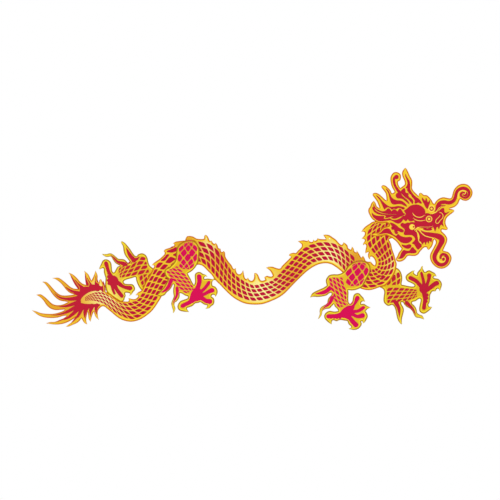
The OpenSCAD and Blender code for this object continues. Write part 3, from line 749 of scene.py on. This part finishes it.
# %% Head print
head = [
    smooth([(-39, 48.5, T), (-36, 43), (-32, 38), (-26, 34), (-18, 33), (-14, 35), (-11, 38), (-8, 38.5),
            (-5, 35), (-3, 33), (0, 36), (4, 36.5), (7, 34), (9, 32.5), (11.5, 36.5), (14, 38), (17, 35),
            (21, 29), (24, 27.6), (8, 28), (-10, 28.4), (-24, 31.4), (-34, 37), (-38, 42)]),
    smooth([(-40.4, 42), (-39, 35), (-33, 29.6), (-24, 26.6), (-14, 24), (-16, 20, T), (-8, 21.4), (-4, 23),
            (6, 24.4), (20, 26), (6, 26.4), (-10, 26.6), (-26, 29.4), (-36, 35)]),
    smooth([(-42.4, 30, T), (-38, 26), (-32, 24), (-24, 23.4), (-18, 23), (-19, 19), (-14, 17.4),
            (-6, 18.8), (-3, 16.4), (4, 15.6), (10, 17), (16, 20), (22, 24), (19, 16), (16, 12), (12, 9.4),
            (6, 10.6), (0, 14), (-6, 16), (-14, 14.4), (-22, 13), (-30, 14), (-36, 18), (-41, 24)]),
    smooth([(-34, 65.4, T), (-29, 62), (-24, 56), (-18, 50), (-12, 45), (-6, 42), (2, 42), (10, 43.4),
            (18, 42), (23, 39.4), (20, 37.4), (15.6, 40), (10, 40.4), (6, 38), (2, 39.4), (-2, 37.4),
            (-5, 40), (-10, 42), (-14, 40.4), (-17, 37.4, T), (-19.4, 42), (-22.4, 49), (-26, 56),
            (-30, 61)]),
    smooth([(-14.4, 79.4, T), (-10, 76), (-6, 68), (-4, 62), (1, 57.4), (7, 55), (14, 54.4), (20, 52),
            (26, 46), (28, 43, T), (23, 45), (18, 47.6), (10, 48.4), (2, 47.4), (-2, 49), (-5, 55),
            (-7, 62), (-9, 70), (-12, 75)]),
    disc(7, 102, 3.8),
    stroke((6, 103, 4), (2, 99, 3.6), (2.4, 89, 4), (6, 81, 4.2), (14, 70, 5)),
    smooth([(15, 69), (19, 63.4), (26, 57.4), (31, 51.6), (32.6, 47.6, T), (29, 51), (24, 55),
            (19, 58.4), (14, 59.6), (9, 60), (6, 64), (6.4, 67.4), (10, 70)]),
    smooth([(24.6, 108, T), (27, 102), (32, 94), (34, 86), (34, 78), (38, 70), (44, 63), (51, 58),
            (56, 52), (57, 49.4), (50, 51.4), (44, 49.4), (44, 55), (41, 59.4), (38, 63), (36, 67),
            (33, 69), (30.4, 73), (28.4, 76), (29.6, 79), (26, 80.4), (28, 84), (29.6, 89), (28, 96),
            (25.6, 102)]),
    smooth([(22, 79.4), (18.6, 76.6), (16, 72), (19, 67.4), (25, 61.6), (31, 57.4), (36, 52),
            (39, 48, T), (40, 53), (37, 58), (33, 60.4), (30, 65), (30.6, 68.6), (27, 69.6),
            (24.6, 71), (24, 76)]),
    smooth([(28, 38), (34, 43.4), (42, 46), (50, 46), (58, 42), (63, 36), (64, 30), (61, 25),
            (56, 23.4), (50, 24), (44, 27.4), (40, 30.4), (38, 28), (38.6, 22), (42, 16.6), (36, 14),
            (32, 15), (29.6, 18), (26, 14), (23, 16), (20, 18), (17, 17.4), (20, 22), (26, 27.4),
            (22, 34.4, T)]),
    smooth([(38, 30), (37, 22), (42, 17), (44, 10), (48, 3), (56, 0.6), (68, 0.4), (80, 2), (83, 10),
            (80, 22), (70, 29), (63, 28), (57, 25), (50, 26), (44, 30)]),
    smooth([(15, 6), (19, 10), (23, 8), (29.6, 10.4), (34, 8), (35, 5), (33, 0), (35, -4), (39, -7),
            (46, -8), (48, -17), (51, -26), (57, -37), (53, -40.4), (50.6, -42.6), (48, -41),
            (45, -36), (42, -32), (38.6, -30.4), (41, -28), (44.6, -23), (43, -18), (38, -14),
            (30, -13.6), (22, -12.6), (24, -4), (20, 1)]),
    smooth([(58, 60.6, T), (62, 56), (64, 54), (66, 60.4, T), (68, 54), (70, 51), (73, 56, T),
            (73.6, 52), (71, 45), (69, 39), (65, 43), (62, 49), (58.6, 55.4)]),
    stroke((87.6, 36, 5), (90, 46, 6.6), (95, 50.5, 6.6), (103, 51.7, 6.2), (112, 50.5, 6.2),
           (120, 54, 6.2), (124, 61, 6.2), (126, 69, 6.2), (131, 76, 6), (140, 79.3, 5.6),
           (149, 76.5, 5), (152.5, 70, 4.6), (150, 62.5, 4.2), (143, 59.8, 4), (137, 63, 3.6),
           (135.5, 68, 3.2), (139, 71, 3)),
    smooth([(74, 26), (84, 29), (92, 34), (101, 39.4), (102, 33), (104, 30), (113, 32.4, T), (107, 28),
            (102.6, 23), (100, 16), (99, 10), (101, 3.4, T), (96, 7), (91.6, -3, T), (89, 3),
            (84, -7, T), (81, 2), (78, 8), (72, 10), (68, 18)]),
    smooth([(61, -0.6), (68, -1.6), (76, -1), (77.6, -2.6), (76, -4.4), (68, -5), (62, -3.6)]),
    stroke((56, -5, 0), (62, -11, 6), (70, -13, 8), (82, -15, 9), (91, -17, 10), (97, -21, 10),
           (97.6, -27, 9.6), (94, -34, 8), (89.6, -42, 7.6), (85, -50, 7.4), (82.6, -58, 7),
           (84, -65, 6.8), (90, -72, 6.6), (97, -74, 6.4), (105, -71, 6), (109, -64, 5.6),
           (108.6, -58, 5), (104, -53, 4.6), (99, -52.6, 4), (95.6, -56, 3.6), (95, -60, 3.2)),
    smooth([(48, -5), (53, -8), (59, -14), (66, -18), (76, -19), (78, -23), (77, -29, T), (73, -25),
            (71, -31, T), (68, -27), (65, -34, T), (63, -28), (58, -33, T), (56, -27), (52, -26),
            (53, -20), (51, -12)]),
    smooth([(-9, 10.6, T), (-2, 9.6), (6, 5.4), (12, 0), (20, -4), (21, -7), (16, -8), (9, -5.6),
            (8, -7), (9.6, -10), (6, -11.6), (3.4, -8), (3, -4), (3.2, 0), (1.8, 3), (-2, 4.4), (-6, 8)]),
    smooth([(-33, -12, T), (-28, -11), (-23, -7), (-18, -2.4), (-12, -1), (-7, -3), (-4, -8), (0, -13),
            (3, -15), (7, -16), (10, -12.6), (13, -15), (18, -17.6), (26, -19), (35, -18.6), (38, -21),
            (36, -25), (31, -29), (24, -30), (16, -28), (10, -23), (5, -18), (-6, -12), (-14, -10.6),
            (-26, -12.6)]),
    smooth([(17, -33.6, T), (26, -35), (33, -33), (36, -35), (35, -38.6), (30, -41), (23, -39),
            (18.6, -36)]),
    smooth([(10, -61, T), (14, -57), (17, -49), (21, -44.6), (27, -46), (33, -45.6), (39, -38.6),
            (42, -42), (46.6, -48), (40, -50), (31, -50), (26, -51.6), (23, -56), (18, -60.4)]),
    disc(144, 68, 4.4), disc(103, -61.6, 4.6), disc(38, 2, 9.4),
    smooth([(-4, 20.4, T), (2, 22.8), (9, 24.6), (18, 25, T), (10, 21), (3, 18.8)]),
    stroke((84, 33.5, 1.5), (90, 38.6, 3), (96, 43.6, 3), (105, 45, 0)),
]
printed("head_print", "head_card", head, crimson, bleed=0.8)

# %% [markdown]
# Thin gold lines run through the red: eyelid, eye rings, lips, nostril and the insides of the whisker curls.
# They could be left as gaps in the red, but every gap would cut an outline in two. So they are strokes on
# top, a little higher than the red, in the foil's brightest gold.

# %% Gold lines on the head
gold_lines = [
    disc(77, 38.6, 7), disc(72, 18, 7.2), disc(38, 2, 6.4),
    stroke((38.6, 31, 0.6), (42, 25.6, 2.4), (48.4, 21.8, 2.8), (56, 21.8, 2.6), (64, 26, 1)),
    stroke((40, 20, 0.8), (46, 16, 2.2), (55, 14.4, 2.4), (65, 15.6, 1.6)),
    stroke((43, -4, 3), (50, 1, 2), (60, 2, 1.4), (72, 2, 1.4), (80, 4, 1)),
    stroke((52, -5, 1.2), (57, -10, 2.2), (64, -15.6, 2.2), (75, -18.8, 2.2), (82, -20.4, 2)),
    stroke((46, -5, 1.6), (50, -11, 2.4), (52, -18, 2.4), (51, -25, 2.6), (56, -31, 2)),
    stroke((55, -2.6, 1.4), (64, -5.6, 1.8), (74, -6, 1.8), (82, -3.4, 1.2)),
    stroke((78, 28.4, 1.6), (86, 32, 2), (92, 40, 2), (102, 45, 1)),
    stroke((93, 31, 1.4), (97, 30, 1.8), (100, 25, 1.8), (99, 20, 1.8), (94, 15, 1.8), (90, 9.6, 1.8),
           (86, 10, 1.8), (86, 16, 1.8), (91, 21, 1.6), (94, 25, 1.4)),
    stroke((130.2, 61, 3.4), (130.4, 67, 2.8), (132.4, 72, 2.4), (138.4, 75, 2.4), (143.6, 73.4, 2.4),
           (145, 70, 2.4), (142.2, 67.6, 2.2), (139.6, 69.2, 1.6)),
    stroke((92, -51, 3.6), (90, -58.4, 3), (92, -65.2, 2.6), (98.4, -68.2, 2.4), (103.8, -65.1, 2.4),
           (104.4, -60.4, 2.4), (100.9, -58, 2.2), (98.2, -60.2, 1.6)),
]
printed("head_lines", "head_card", gold_lines, line_gold.material, top=0.18, bleed=0)
printed("head_eye_rings", "head_card", [disc(77, 38.6, 5.2), disc(72, 18, 5.4), disc(41, 2.4, 2.4)],
        crimson, top=0.215, bleed=0)
printed("head_eyes", "head_card", [disc(77, 38.6, 3.1), disc(72, 18, 3.4)],
        line_gold.material, top=0.235, bleed=0)

# %% [markdown]
# The cards and rivets keep their own meshes; they only get their finishes. Rivets could be left as bright
# metal, but on such a decoration they should not draw the eye. So they are lacquered crimson, and their
# heads vanish among the scales.

# %% Finishes of the flat parts
for name, node in frame["nodes"].items():
    if name in PIVOT:
        finish = leg_foil.material if "leg" in name else foil.material
    else:
        finish = near_lacquer if name in ("hip_stud", "shoulder_stud") else lacquer
    if not node.material_slots:
        node.data.materials.append(finish)
    for place in node.material_slots:
        place.material = finish
print(len(frame["nodes"]), "flat parts finished")

# %% [markdown]
# A plain studio: white surroundings that light the foil evenly, one large soft lamp for a little
# modelling, and a pale floor well below the hanging dragon. Small hard lamps would put hot spots on the flat
# cards, so there are none.

# %% Studio
world = bpy.data.worlds.new("studio")
bpy.context.scene.world = world
world.use_nodes = True
world.node_tree.nodes["Background"].inputs["Color"].default_value = (1, 1, 1, 1)
world.node_tree.nodes["Background"].inputs["Strength"].default_value = 1.0
bpy.context.scene.view_settings.view_transform = "Standard"

lamp = bpy.data.objects.new("soft_lamp", bpy.data.lights.new("soft_lamp", "AREA"))
bpy.context.scene.collection.objects.link(lamp)
lamp.data.size = 1.5
lamp.data.energy = 8
lamp.location = (-1.2, -2.0, 1.8)
lamp.rotation_euler = (np.radians(50), 0, np.radians(-30))

floor_mesh = bpy.data.meshes.new("floor")
floor_mesh.from_pydata([(-1.5, -1.2, -0.7), (1.5, -1.2, -0.7), (1.5, 1.2, -0.7), (-1.5, 1.2, -0.7)],
                       [], [(0, 1, 2, 3)])
floor = bpy.data.objects.new("floor", floor_mesh)
bpy.context.scene.collection.objects.link(floor)
pale = Graph("floor")
pale.feed("Base Color", (0.85, 0.85, 0.84, 1))
pale.feed("Roughness", 0.8)
floor_mesh.materials.append(pale.material)
print("studio ready")
